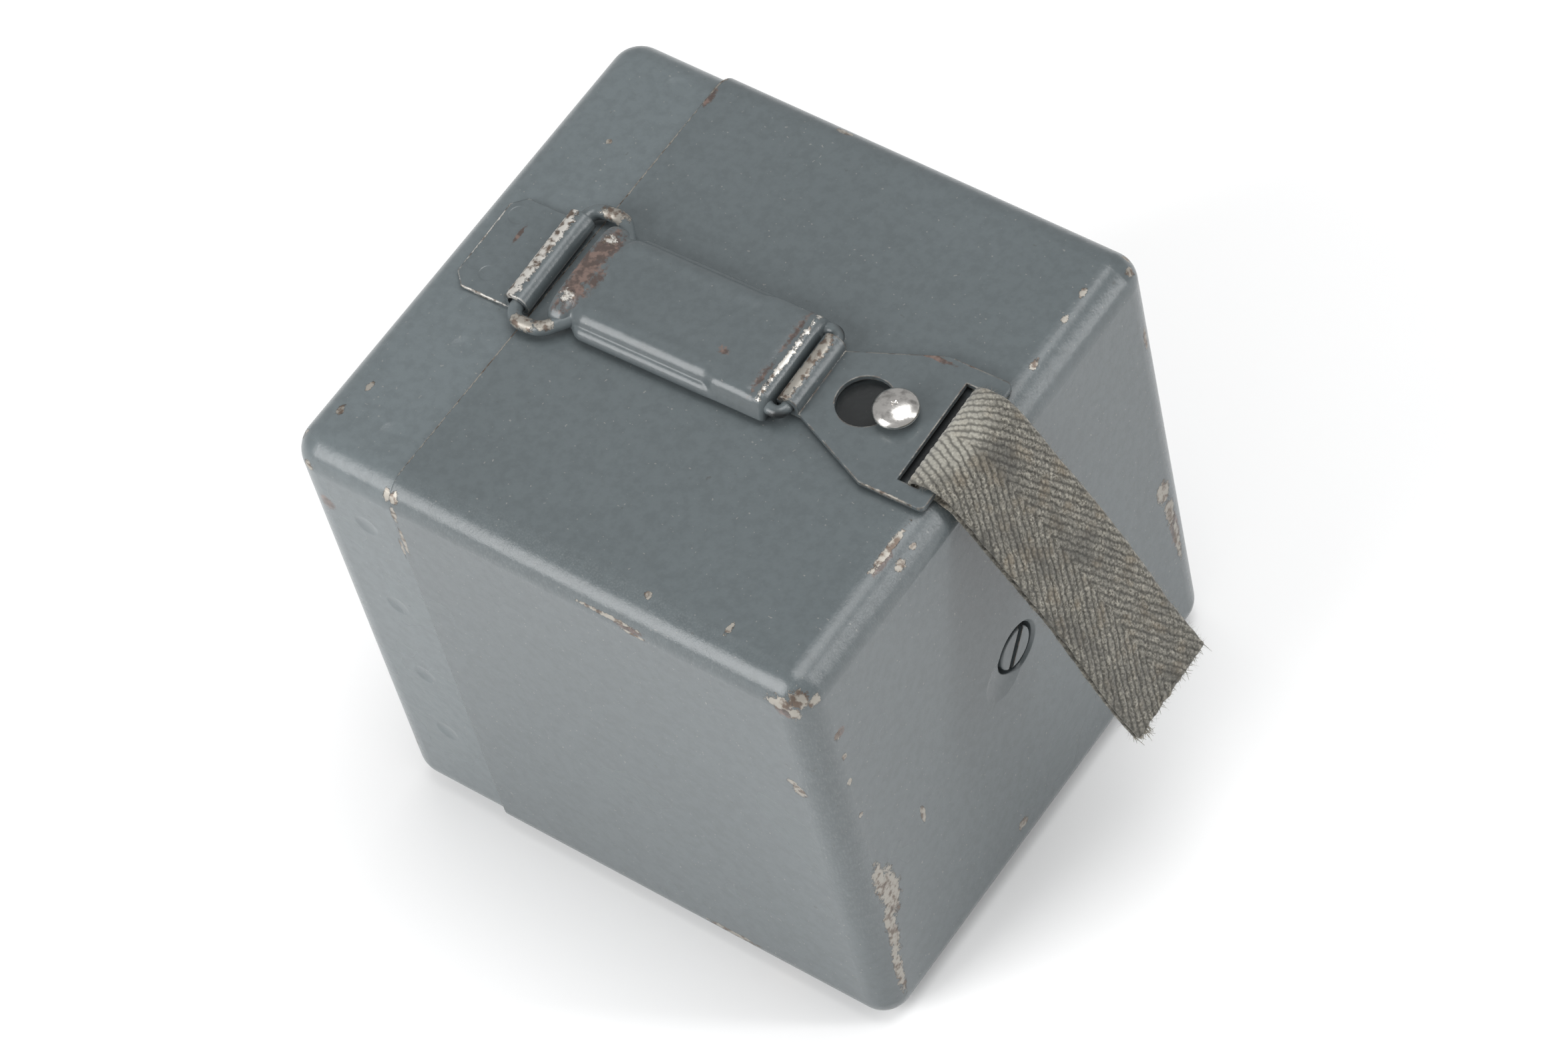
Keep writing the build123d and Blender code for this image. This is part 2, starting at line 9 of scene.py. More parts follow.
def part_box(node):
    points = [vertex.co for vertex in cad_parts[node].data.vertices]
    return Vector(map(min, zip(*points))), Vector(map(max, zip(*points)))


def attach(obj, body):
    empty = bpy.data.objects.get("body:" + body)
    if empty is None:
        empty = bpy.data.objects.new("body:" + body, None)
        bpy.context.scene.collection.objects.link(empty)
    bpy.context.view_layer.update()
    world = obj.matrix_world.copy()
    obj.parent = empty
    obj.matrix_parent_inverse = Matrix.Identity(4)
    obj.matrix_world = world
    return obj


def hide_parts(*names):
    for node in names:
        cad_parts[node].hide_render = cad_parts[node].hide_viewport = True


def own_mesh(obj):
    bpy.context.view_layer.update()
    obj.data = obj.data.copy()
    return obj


# Looks of the bulk film loader: painted sheet steel, a worn draw latch and a webbing pull tab.
# Metres, in the part's own frame: x runs from the lid's end to the end with the screw, z up.

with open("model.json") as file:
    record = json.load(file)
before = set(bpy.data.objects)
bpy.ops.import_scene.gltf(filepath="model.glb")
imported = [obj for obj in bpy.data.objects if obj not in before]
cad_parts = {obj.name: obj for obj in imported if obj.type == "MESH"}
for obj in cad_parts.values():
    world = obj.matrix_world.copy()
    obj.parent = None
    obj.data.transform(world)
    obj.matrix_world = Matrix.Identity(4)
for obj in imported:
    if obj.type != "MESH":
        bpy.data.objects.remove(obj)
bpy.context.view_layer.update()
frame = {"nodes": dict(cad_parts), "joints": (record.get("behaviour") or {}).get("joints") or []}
NODES = frame["nodes"]
MM = 0.001

# ---- places taken from the frame

BODY_LOW, BODY_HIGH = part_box("body_shell")
TOP = BODY_HIGH.z
JOINTS = {joint["name"]: joint for joint in frame["joints"]}
ALONG = Vector(JOINTS["latch_slide"]["axis"])
ACROSS = Vector((-ALONG.y, ALONG.x, 0))
LATCH_START = Vector(JOINTS["bail_hinge"]["pos_m"])


def latch_place(u, w, h):
    """Point in the part's frame from a place on the latch in mm: u along it, w to the back, h up."""
    start = Vector((LATCH_START.x, LATCH_START.y, TOP))
    return start + ALONG * (u * MM - LATCH_START.x) + ACROSS * (w * MM) + Vector((0, 0, h * MM))


# ---- shader graphs


class Graph:
    """A material's node tree, with short calls for the nodes that the finishes share."""

    def __init__(self, name):
        self.material = bpy.data.materials.new(name)
        self.material.use_nodes = True
        self.tree = self.material.node_tree
        self.shader = self.tree.nodes["Principled BSDF"]
        coordinates = self.tree.nodes.new("ShaderNodeTexCoord").outputs["Object"]
        self.place = self.vector("MULTIPLY", coordinates, (1000, 1000, 1000))

    def set(self, socket, value):
        if isinstance(value, bpy.types.NodeSocket):
            self.tree.links.new(value, socket)
        else:
            socket.default_value = value

    def math(self, operation, *values):
        node = self.tree.nodes.new("ShaderNodeMath")
        node.operation = operation
        for socket, value in zip(node.inputs, values):
            self.set(socket, value)
        return node.outputs[0]

    def vector(self, operation, *values):
        node = self.tree.nodes.new("ShaderNodeVectorMath")
        node.operation = operation
        for socket, value in zip(node.inputs, values):
            self.set(socket, value)
        return node.outputs["Value" if operation in ("DOT_PRODUCT", "LENGTH") else "Vector"]

    def noise(self, scale, detail=2.0, stretch=(1, 1, 1), roughness=0.5):
        """Noise from 0 to 1; scale is in cells per millimetre."""
        node = self.tree.nodes.new("ShaderNodeTexNoise")
        node.inputs["Scale"].default_value = scale
        node.inputs["Detail"].default_value = detail
        node.inputs["Roughness"].default_value = roughness
        place = self.place
        if stretch != (1, 1, 1):
            place = self.vector("MULTIPLY", place, stretch)
        self.set(node.inputs["Vector"], place)
        return node.outputs["Fac"]

    def step(self, value, low, high):
        """Smooth step from 0 at low to 1 at high; low may be the larger one."""
        node = self.tree.nodes.new("ShaderNodeMapRange")
        node.interpolation_type = "SMOOTHSTEP"
        self.set(node.inputs["Value"], value)
        node.inputs["From Min"].default_value = low
        node.inputs["From Max"].default_value = high
        return node.outputs["Result"]

    def mix(self, share, first, second):
        """Mix of two colours."""
        node = self.tree.nodes.new("ShaderNodeMix")
        node.data_type = "RGBA"
        self.set(node.inputs["Factor"], share)
        for name, value in (("A", first), ("B", second)):
            socket = next(s for s in node.inputs if s.name == name and s.type == "RGBA")
            if isinstance(value, tuple):
                value = (*value, 1)
            self.set(socket, value)
        return next(s for s in node.outputs if s.type == "RGBA")

    def blend(self, share, first, second):
        """Mix of two numbers."""
        node = self.tree.nodes.new("ShaderNodeMix")
        self.set(node.inputs["Factor"], share)
        self.set(node.inputs["A"], first)
        self.set(node.inputs["B"], second)
        return node.outputs["Result"]

    def bump(self, height, distance, normal=None):
        """Bump; distance in metres for a height of 1."""
        node = self.tree.nodes.new("ShaderNodeBump")
        node.inputs["Distance"].default_value = distance
        self.set(node.inputs["Height"], height)
        if normal:
            self.set(node.inputs["Normal"], normal)
        return node.outputs["Normal"]

    def spot(self, at, size, turn=(0, 0, 0)):
        """Ball of influence about a place in millimetres, 1 in its middle and 0 at its edge."""
        mapping = self.tree.nodes.new("ShaderNodeMapping")
        mapping.vector_type = "TEXTURE"
        mapping.inputs["Location"].default_value = at
        mapping.inputs["Rotation"].default_value = [math.radians(angle) for angle in turn]
        mapping.inputs["Scale"].default_value = size
        self.set(mapping.inputs["Vector"], self.place)
        node = self.tree.nodes.new("ShaderNodeTexGradient")
        node.gradient_type = "SPHERICAL"
        self.set(node.inputs["Vector"], mapping.outputs["Vector"])
        return node.outputs["Fac"]

    def spots(self, places):
        """The strongest of several spots."""
        found = None
        for place in places:
            spot = self.spot(*place)
            found = spot if found is None else self.math("MAXIMUM", found, spot)
        return found

    def sharp_edges(self, radius):
        """1 near an edge or a corner of this radius in metres, 0 on flat faces."""
        node = self.tree.nodes.new("ShaderNodeBevel")
        node.samples = 4
        node.inputs["Radius"].default_value = radius
        geometry = self.tree.nodes.new("ShaderNodeNewGeometry")
        same = self.vector("DOT_PRODUCT", node.outputs["Normal"], geometry.outputs["Normal"])
        return self.step(same, 0.99, 0.80)

    def rounded(self, radius):
        """Surface normal with its sharp edges softened."""
        node = self.tree.nodes.new("ShaderNodeBevel")
        node.samples = 6
        node.inputs["Radius"].default_value = radius
        return node.outputs["Normal"]

    def finish(self, colour, roughness, metallic=0.0, normal=None, **constants):
        """Links the shader and gives the material; constants are other sockets in lower case."""
        self.set(self.shader.inputs["Base Color"], colour)
        self.set(self.shader.inputs["Roughness"], roughness)
        self.set(self.shader.inputs["Metallic"], metallic)
        if normal:
            self.set(self.shader.inputs["Normal"], normal)
        for name, value in constants.items():
            socket = name.replace("_", " ").title().replace("Ior", "IOR")
            self.shader.inputs[socket].default_value = value
        return self.material


# ---- colours and wear

PAINT = (0.098, 0.115, 0.121)
MOTTLE = (0.03, 0.035, 0.037)
DUST = (0.30, 0.29, 0.27)
RUBBED_PAINT = (0.26, 0.28, 0.28)
DULL_STEEL = (0.33, 0.31, 0.275)
BRIGHT_STEEL = (0.60, 0.58, 0.54)
TARNISH = (0.13, 0.10, 0.08)
RUST = (0.066, 0.043, 0.035)
FRESH_RUST = (0.16, 0.105, 0.086)
DIRT = (0.045, 0.038, 0.028)
# Near black: painted shade on the case under the keyhole plate, and the darkened link wire elbows.
NEAR_BLACK = (0.008, 0.008, 0.008)

# Depth of the orange peel, and radii of the worn and the softened edges, in metres.
PEEL_DEPTH = 0.00006
WORN_EDGE = 0.0006
SOFT_EDGE = 0.0004

# Wear on the case: (place, reach) in millimetres, each a ball or a long ellipsoid.
TOP_MM = TOP / MM
FRONT_MM = BODY_LOW.y / MM
END_MM = BODY_HIGH.x / MM
SEAM_MM = BODY_LOW.x / MM
CASE_CHIPS = [
    # corner where the top, the front and the end meet
    ((53.2, -50.2, 107.6), (3.2, 2.8, 3.0)),
    ((50.2, FRONT_MM, 106.6), (4.6, 1.6, 2.6)),
    ((54.6, -48.5, 106.2), (1.2, 2.4, 1.6)),
    ((52.4, -51.2, 104.2), (1.6, 1.2, 2.4)),
    # end's top edge, beside the strap and further back
    ((50.4, -19.8, TOP_MM), (1.0, 8.0, 1.6)),
    ((53.2, -20.6, 108.7), (1.2, 1.9, 1.2)),
    ((53.0, -16.6, 108.9), (0.7, 1.1, 0.9)),
    ((50.9, 23.2, TOP_MM), (0.9, 1.9, 1.2)),
    ((50.4, 33.4, TOP_MM), (0.8, 1.6, 1.2)),
    ((50.0, 39.6, TOP_MM), (0.9, 1.6, 1.2)),
    ((53.4, 48.2, 107.4), (1.2, 2.0, 1.8)),
    ((51.4, 50.2, 107.6), (1.2, 1.2, 1.6)),
    # front and back edges of the top
    ((36.1, -45.4, TOP_MM), (0.8, 2.0, 1.2)),
    ((20.3, -46.6, TOP_MM), (1.0, 1.0, 1.2)),
    ((-6.5, 49.6, 109.4), (2.4, 1.0, 1.6)),
    # front
    ((48.7, FRONT_MM, 78.8), (2.2, 1.0, 2.6)),
    ((47.6, FRONT_MM, 80.4), (1.6, 1.0, 1.2)),
    ((14.6, FRONT_MM, 106.4), (9.5, 1.0, 0.7)),
    ((20.0, FRONT_MM, 104.9), (4.0, 1.0, 0.6)),
    ((-31.0, -51.0, 108.0), (1.3, 1.8, 2.2)),
    ((-31.3, FRONT_MM, 104.4), (0.9, 1.0, 3.4)),
    ((-31.3, FRONT_MM, 96.0), (0.7, 1.0, 5.0)),
    ((20.0, FRONT_MM, 6.6), (8.0, 1.0, 1.3)),
    ((31.0, -50.8, 3.4), (5.0, 1.6, 1.4)),
    # end: the long bare patch beside the front edge, and small ones
    ((END_MM, -45.8, 45.0), (1.0, 2.2, 8.0)),
    ((END_MM, -44.0, 39.0), (1.4, 3.6, 11.0)),
    ((END_MM, -46.0, 29.0), (1.2, 2.2, 12.0)),
    ((END_MM, -47.0, 17.0), (1.3, 1.5, 12.0)),
    ((END_MM, -31.8, 47.4), (1.0, 1.0, 3.4)),
    ((END_MM, -46.0, 92.6), (1.0, 1.2, 1.4)),
    ((END_MM, -45.8, 85.8), (1.0, 0.9, 1.2)),
    ((END_MM, -46.2, 78.4), (1.0, 1.1, 1.2)),
    ((END_MM, -45.8, 67.2), (1.0, 0.9, 1.0)),
    ((END_MM, -8.7, 10.6), (1.0, 2.2, 1.8)),
    ((END_MM, 45.0, 47.0), (1.0, 2.6, 4.5)),
    ((END_MM, 45.8, 40.0), (1.0, 2.0, 6.0)),
    ((END_MM, 46.6, 30.0), (1.2, 1.2, 8.0)),
    ((54.6, 47.8, 90.0), (1.0, 1.0, 4.5)),
    # seam on the top
    ((SEAM_MM, 0.0, TOP_MM), (0.34, 75.0, 0.7)),
    ((SEAM_MM, 47.2, 109.6), (0.55, 6.5, 1.2)),
]
LID_CHIPS = [
    ((-53.0, -47.0, 106.4), (1.6, 1.6, 2.6)),
    ((-53.6, -45.4, 103.0), (1.0, 2.2, 2.2)),
    ((-50.4, -50.9, 104.6), (2.2, 1.0, 1.6)),
    ((-52.6, -49.6, 99.0), (1.2, 1.4, 3.0)),
    ((-49.4, -41.4, 109.7), (1.0, 1.6, 1.0)),
    ((-47.9, -35.0, 109.7), (0.8, 1.8, 1.0)),
    ((-54.0, 44.0, 104.0), (1.4, 1.4, 2.0)),
    ((-33.2, -50.6, 107.4), (0.9, 1.4, 2.6)),
    ((-33.0, -51.4, 92.0), (0.6, 1.0, 4.0)),
    ((-42.0, 28.0, 109.7), (0.9, 0.9, 1.0)),
    ((-52.0, -50.0, 14.0), (1.6, 1.4, 3.2)),
]
CASE_RUST = [
    ((-48.8, -51.4, 95.0), (2.4, 1.4, 2.6)),
    ((50.8, -51.6, 104.8), (3.4, 1.4, 2.6)),
    ((50.8, -22.0, 109.8), (1.4, 5.0, 1.4)),
    ((19.0, FRONT_MM, 106.0), (4.5, 1.0, 1.2)),
    ((31.0, -51.2, 4.4), (9.0, 1.6, 2.0)),
    ((END_MM, 4.0, 76.0), (1.0, 3.0, 3.0)),
    ((END_MM, 46.4, 34.0), (1.0, 2.2, 9.0)),
    ((END_MM, -45.0, 92.6), (1.0, 1.6, 1.8)),
    ((-31.4, 44.0, 109.8), (1.0, 4.0, 1.2)),
]
# Rubbed stretches of the long rounded edges.
CASE_SCUFFS = [
    ((8.0, -49.0, 107.2), (62.0, 6.5, 6.0)),
    ((52.0, -10.0, 107.2), (6.5, 60.0, 6.0)),
    ((52.0, -49.0, 70.0), (6.0, 6.0, 60.0)),
]


def latch_spot(u, w, h, reach):
    """Wear on the latch, from a place on it."""
    place = latch_place(u, w, h) / MM
    return tuple(place), reach, (0, 0, math.degrees(math.atan2(ALONG.y, ALONG.x)))


def bare_steel(graph, ragged, chips, edge_wear):
    """Where the paint is gone: 1 in the chips and on the worn edges."""
    bare = 0.0
    if chips:
        reach = graph.spots(chips)
        bare = graph.math("ADD", reach, graph.math("MULTIPLY", ragged, 2.2))
        bare = graph.step(graph.math("MULTIPLY", bare, graph.step(reach, 0.0, 0.10)), 1.42, 1.47)
    if edge_wear:
        worn = graph.math("MULTIPLY", graph.sharp_edges(WORN_EDGE), graph.noise(0.35, 4.0))
        worn = graph.step(worn, 0.62 - edge_wear, 0.70 - edge_wear)
        bare = graph.math("MAXIMUM", bare, worn)
    return bare


def paint_colour(graph, peel, patches, tone):
    """The paint's own colour, with its patches, mottle, dust and dirty pits."""
    dark = tuple(c * tone * 0.93 for c in PAINT)
    light = tuple(c * tone * 1.07 for c in PAINT)
    specks = graph.step(graph.noise(1.9, 0.0), 0.82, 0.85)
    pits = graph.step(graph.noise(0.6, 4.0), 0.70, 0.78)
    mottle = graph.math("MULTIPLY", graph.step(peel, 0.65, 0.3), 0.16)
    colour = graph.mix(patches, dark, light)
    colour = graph.mix(mottle, colour, MOTTLE)
    colour = graph.mix(graph.math("MULTIPLY", specks, 0.35), colour, DUST)
    return graph.mix(graph.math("MULTIPLY", pits, 0.35), colour, DIRT)


def rusted(graph, colour, ragged, rust_spots):
    stain = graph.math("ADD", graph.spots(rust_spots), graph.math("MULTIPLY", ragged, 1.6))
    stain = graph.step(stain, 1.05, 1.30)
    red = graph.mix(graph.step(graph.noise(0.8, 4.0), 0.45, 0.65), RUST, FRESH_RUST)
    return graph.mix(graph.math("MULTIPLY", stain, 0.85), colour, red)


def enamel(
    name,
    chips=(),
    rust_spots=(),
    scuffs=(),
    darkened_spots=(),
    welds=(),
    tone=1.0,
    edge_wear=0.0,
    steel=DULL_STEEL,
):
    """Semi-gloss enamel with orange peel, dust, rubbed edges and chips down to the steel."""
    graph = Graph(name)
    peel = graph.noise(0.55, 3.0, roughness=0.6)
    grain = graph.noise(2.6, 2.0)
    patches = graph.noise(0.035, 3.0)
    ragged = graph.noise(0.9, 8.0, roughness=0.8)
    bare = bare_steel(graph, ragged, chips, edge_wear)
    colour = paint_colour(graph, peel, patches, tone)
    height = graph.math("ADD", peel, graph.math("MULTIPLY", grain, 0.14))
    if welds:
        pressed = graph.math("MULTIPLY", graph.step(graph.spots(welds), 0.0, 0.2), 1.2)
        height = graph.math("SUBTRACT", height, pressed)
    if scuffs:
        rubbed = graph.step(graph.spots(scuffs), 0.0, 0.5)
        hairs = graph.noise(1.9, 3.0, (1.6, 1.6, 0.45), 0.7)
        hairs = graph.math("MULTIPLY", graph.step(hairs, 0.45, 0.70), rubbed)
        colour = graph.mix(graph.math("MULTIPLY", hairs, 0.16), colour, RUBBED_PAINT)
        height = graph.math("SUBTRACT", height, graph.math("MULTIPLY", hairs, 0.16))
    if rust_spots:
        colour = rusted(graph, colour, ragged, rust_spots)
    # Spots darkened towards near black; on the case they are painted shade under the keyhole plate and
    # its slot.
    if darkened_spots:
        shade = graph.step(graph.spots(darkened_spots), 0.0, 0.35)
        colour = graph.mix(graph.math("MULTIPLY", shade, 0.9), colour, NEAR_BLACK)
    scraped = graph.mix(graph.step(graph.noise(0.7, 5.0), 0.46, 0.62), steel, TARNISH)
    colour = graph.mix(bare, colour, scraped)
    rough = graph.blend(bare, graph.blend(patches, 0.23, 0.30), 0.42)
    height = graph.math("SUBTRACT", height, graph.math("MULTIPLY", bare, 1.4))
    metal = graph.math("MULTIPLY", bare, 0.55)
    normal = graph.bump(height, PEEL_DEPTH, graph.rounded(SOFT_EDGE))
    return graph.finish(colour, rough, metal, normal, specular_ior_level=0.5)


def worn_steel(name, colour, roughness):
    """Bare or plated steel with fine scratches and tarnish."""
    graph = Graph(name)
    tarnish = graph.noise(0.6, 5.0)
    scratches = graph.noise(3.0, 3.0, (0.15, 1, 1))
    dark = tuple(c * 0.45 for c in colour)
    tint = graph.mix(graph.step(tarnish, 0.45, 0.75), colour, dark)
    rough = graph.blend(scratches, roughness - 0.1, roughness + 0.1)
    return graph.finish(tint, rough, 1.0, graph.bump(scratches, 0.00001))


def plain(name, colour, roughness, metallic=0.0, grain=0.00001):
    """Even finish with a fine grain."""
    graph = Graph(name)
    fine = graph.noise(3.0, 3.0)
    tint = graph.mix(fine, tuple(c * 0.8 for c in colour), colour)
    return graph.finish(tint, roughness, metallic, graph.bump(fine, grain))


DARK_YARN = (0.075, 0.070, 0.058)
PALE_YARN = (0.33, 0.315, 0.27)
HEATHER = (0.15, 0.145, 0.128)
FADED_BROWN = (0.20, 0.155, 0.10)
STAIN = (0.075, 0.074, 0.068)
WORN_FOLD = (0.42, 0.41, 0.36)
VALLEY_SHADE = (0.028, 0.027, 0.024)
# Middle and reach in millimetres of the place where the strap folds over the bar.
FOLD_SPOT = ((48, 2.5, 113), (9, 16, 8))


def webbing():
    """Faded grey-olive cotton: flecked yarns, painted shade in the weave's valleys, pale worn fold and
    dark stains.
    """
    graph = Graph("cotton_webbing")
    attribute = graph.tree.nodes.new("ShaderNodeAttribute")
    attribute.attribute_name = "weave"
    height = attribute.outputs["Fac"]
    fleck = graph.noise(2.2, 4.0, roughness=0.7)
    heather = graph.noise(0.9, 2.0)
    stains = graph.noise(0.11, 3.0)
    warm = graph.noise(0.25, 2.0)
    fold = graph.spot(*FOLD_SPOT)
    colour = graph.mix(graph.step(fleck, 0.38, 0.62), DARK_YARN, PALE_YARN)
    layers = [
        (graph.step(heather, 0.4, 0.6), 0.5, HEATHER),
        (graph.step(warm, 0.5, 0.7), 0.35, FADED_BROWN),
        (graph.step(stains, 0.45, 0.68), 0.6, STAIN),
        (graph.step(fold, 0.1, 0.7), 0.55, WORN_FOLD),
        # Painted shade: darker where the weave is lower, in its valleys.
        (graph.step(height, 0.7, 0.1), 0.7, VALLEY_SHADE),
    ]
    for mask, strength, tint in layers:
        colour = graph.mix(graph.math("MULTIPLY", mask, strength), colour, tint)
    normal = graph.bump(graph.noise(9.0, 3.0), 0.00008)
    return graph.finish(colour, 0.95, 0.0, normal, specular_ior_level=0.15, sheen_weight=0.25)


def webbing_lint():
    graph = Graph("cotton_lint")
    colour = graph.mix(graph.noise(0.7, 1.0), (0.16, 0.15, 0.12), (0.38, 0.36, 0.31))
    return graph.finish(colour, 0.95, 0.0, specular_ior_level=0.1)


# ---- mesh helpers


def new_piece(name, vertices, faces):
    mesh = bpy.data.meshes.new(name)
    mesh.from_pydata(vertices, [], faces)
    mesh.validate()
    mesh.polygons.foreach_set("use_smooth", [True] * len(mesh.polygons))
    piece = bpy.data.objects.new(name, mesh)
    bpy.context.scene.collection.objects.link(piece)
    return piece


def grid_faces(rows, columns, start=0, flip=False):
    faces = []
    for row in range(rows - 1):
        for column in range(columns - 1):
            corner = start + row * columns + column
            face = (corner, corner + 1, corner + columns + 1, corner + columns)
            faces.append(face[::-1] if flip else face)
    return faces


def rim_faces(rows, columns, second):
    """Faces that join the rims of two like grids; the second grid starts at that vertex."""
    top = list(range(columns))
    right = [row * columns + columns - 1 for row in range(1, rows)]
    bottom = [(rows - 1) * columns + column for column in range(columns - 2, -1, -1)]
    left = [row * columns for row in range(rows - 2, 0, -1)]
    rim = top + right + bottom + left
    return [(b, a, a + second, b + second) for a, b in zip(rim, rim[1:] + rim[:1])]


def smooth_line(points, rounds):
    """Chaikin's corner cutting: the smooth line that a row of points pulls towards itself."""
    line = [Vector(point) for point in points]
    for _ in range(rounds):
        cut = [line[0]]
        for first, second in zip(line, line[1:]):
            cut.append(first.lerp(second, 0.25))
            cut.append(first.lerp(second, 0.75))
        cut.append(line[-1])
        line = cut
    return line


def even_line(points, step):
    """The same line with points about a step apart, and its whole length."""
    reached = [0.0]
    for first, second in zip(points, points[1:]):
        reached.append(reached[-1] + (second - first).length)
    total = reached[-1]
    count = round(total / step)
    line = []
    index = 0
    for number in range(count + 1):
        place = total * number / count
        while index < len(points) - 2 and reached[index + 1] < place:
            index += 1
        share = (place - reached[index]) / (reached[index + 1] - reached[index])
        line.append(points[index].lerp(points[index + 1], min(share, 1.0)))
    return line, total


def direction_at(line, index):
    return (line[min(index + 1, len(line) - 1)] - line[max(index - 1, 0)]).normalized()


# ---- pull strap: one strip of herringbone webbing, folded over the plate's end bar

STRAP_WIDTH = 21.6
STRAP_PLY = 0.9
WEAVE_STEP = 0.2
RIB_PITCH = 1.3
YARN_PITCH = 0.95
RIB_ANGLE = math.radians(28)
RIB_HEIGHT = 0.2
# Where the webbing is pulled tight round the bar, along the latch, and its height under the bar.
BAR_SPAN = (46, 53)
BAR_UNDER = 0.42
# The strip's middle line as (u, h): from the upper ply's end to the bar, under it and back.
STRAP_LINE = [
    (84.9, -49.0), (82.6, -45.6), (80.0, -41.0), (73.9, -29.6), (66.8, -17.4), (60.9, -8.2),
    (56.6, -1.6), (54.2, 1.6), (51.6, 2.95), (48.8, 3.05), (46.9, 2.4), (46.5, 1.0), (47.5, 0.42),
    (49.5, 0.42), (51.8, 0.3), (54.1, -0.8), (56.0, -3.2), (59.9, -9.0), (65.8, -18.2),
    (72.9, -30.2), (79.0, -41.7), (81.6, -46.3), (83.9, -49.6),
]


def weave_height(along, across):
    """Height of the herringbone twill from 0 to 1, its two halves meeting in the middle."""
    side = abs(across)
    rib = (along * math.sin(RIB_ANGLE) - side * math.cos(RIB_ANGLE)) / RIB_PITCH
    number = math.floor(rib)
    run = (along * math.cos(RIB_ANGLE) + side * math.sin(RIB_ANGLE)) / YARN_PITCH + 0.5 * (number % 2)
    ridge = math.sin(math.pi * (rib - number))
    stitch = abs(math.sin(math.pi * run)) ** 0.8
    uneven = 0.85 + 0.3 * noise.noise(Vector((run * 0.7, rib * 0.9, 4)))
    return ridge**0.8 * (0.45 + 0.55 * stitch) * uneven


def strap_vertex(place, outward, face, along, from_end, share):
    """A point of the webbing's outer or inner face, and the height of the weave there."""
    drift = 0.35 * noise.noise(Vector((place.y * 0.06, 3, 0)))
    wander = 0.16 * noise.noise(Vector((along * 0.35, 9 * round(share), 1)))
    across = (share - 0.5) * (STRAP_WIDTH + 2 * wander) + drift
    jitter = Vector((along * 0.9, across * 0.9, 0))
    height = weave_height(along + 0.5 * noise.noise(jitter), across + 0.25 * noise.noise(jitter * 0.6))
    edge = min(1.0, min(share, 1 - share) * STRAP_WIDTH / 0.8)
    near_bar = BAR_SPAN[0] < place.x < BAR_SPAN[1]
    squeeze = min(1.0, 0.62 + 0.4 * abs(place.y - BAR_UNDER)) if near_bar else 1.0
    half = STRAP_PLY / 2 * squeeze * (0.35 + 0.65 * math.sqrt(edge))
    rise = half + RIB_HEIGHT * (height - 0.6) * (0.4 + 0.6 * edge) * squeeze
    free = 0.0 if near_bar else min(1.0, from_end / 8)
    wave = 0.3 * noise.noise(Vector((place.y * 0.1, across * 0.12, 7))) * free
    ravel = 0.7 * noise.noise(Vector((across * 0.5, 5, round(place.x)))) * max(0.0, 1 - from_end / 3)
    point = place + outward * (rise * face + wave)
    return latch_place(point.x, across, point.y - ravel), height


def make_strap():
    line, length = even_line(smooth_line(STRAP_LINE, 3), WEAVE_STEP)
    columns = round(STRAP_WIDTH / WEAVE_STEP) + 1
    vertices = []
    weave = []
    for face in (1, -1):
        for index, place in enumerate(line):
            run = direction_at(line, index)
            outward = Vector((run.y, -run.x))
            along = length * (1 - index / (len(line) - 1))
            from_end = min(along, length - along)
            for column in range(columns):
                share = column / (columns - 1)
                vertex, height = strap_vertex(place, outward, face, along, from_end, share)
                vertices.append(vertex)
                weave.append(height)
    second = len(line) * columns
    faces = grid_faces(len(line), columns) + grid_faces(len(line), columns, second, flip=True)
    faces += rim_faces(len(line), columns, second)
    strap = new_piece("webbing_strap", vertices, faces)
    heights = strap.data.attributes.new("weave", "FLOAT", "POINT")
    heights.data.foreach_set("value", weave)
    strap.data.materials.append(webbing())
    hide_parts("pull_strap")
    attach(strap, "plate")
    fibres = make_fibres(line)


def add_fibre(vertices, faces, start, way, length, radius, bend):
    """Thin three-sided fibre that starts in the cloth and curls as it leaves it."""
    side = way.cross(bend).normalized()
    other = way.cross(side).normalized()
    segments = 4
    first = len(vertices)
    for step in range(segments + 1):
        share = step / segments
        middle = start + way * (length * share) + bend * (length * share * share * 0.6)
        thick = radius * (1 - 0.7 * share)
        for corner in range(3):
            angle = 2 * math.pi * corner / 3
            vertices.append(middle + (side * math.cos(angle) + other * math.sin(angle)) * thick)
    for step in range(segments):
        for corner in range(3):
            a = first + step * 3 + corner
            b = first + step * 3 + (corner + 1) % 3
            faces.append((a, b, b + 3, a + 3))
    faces.append((first + 2, first + 1, first))
    last = first + segments * 3
    faces.append((last, last + 1, last + 2))


# How many fibres stand along the edges, on the faces, and at each cut end and its front corner.
EDGE_LINT = 900
FACE_LINT = 900
CUT_YARNS = 120
CORNER_YARNS = 26


def random_way(draw):
    return Vector((draw.gauss(0, 1), draw.gauss(0, 1), draw.gauss(0, 1))).normalized()


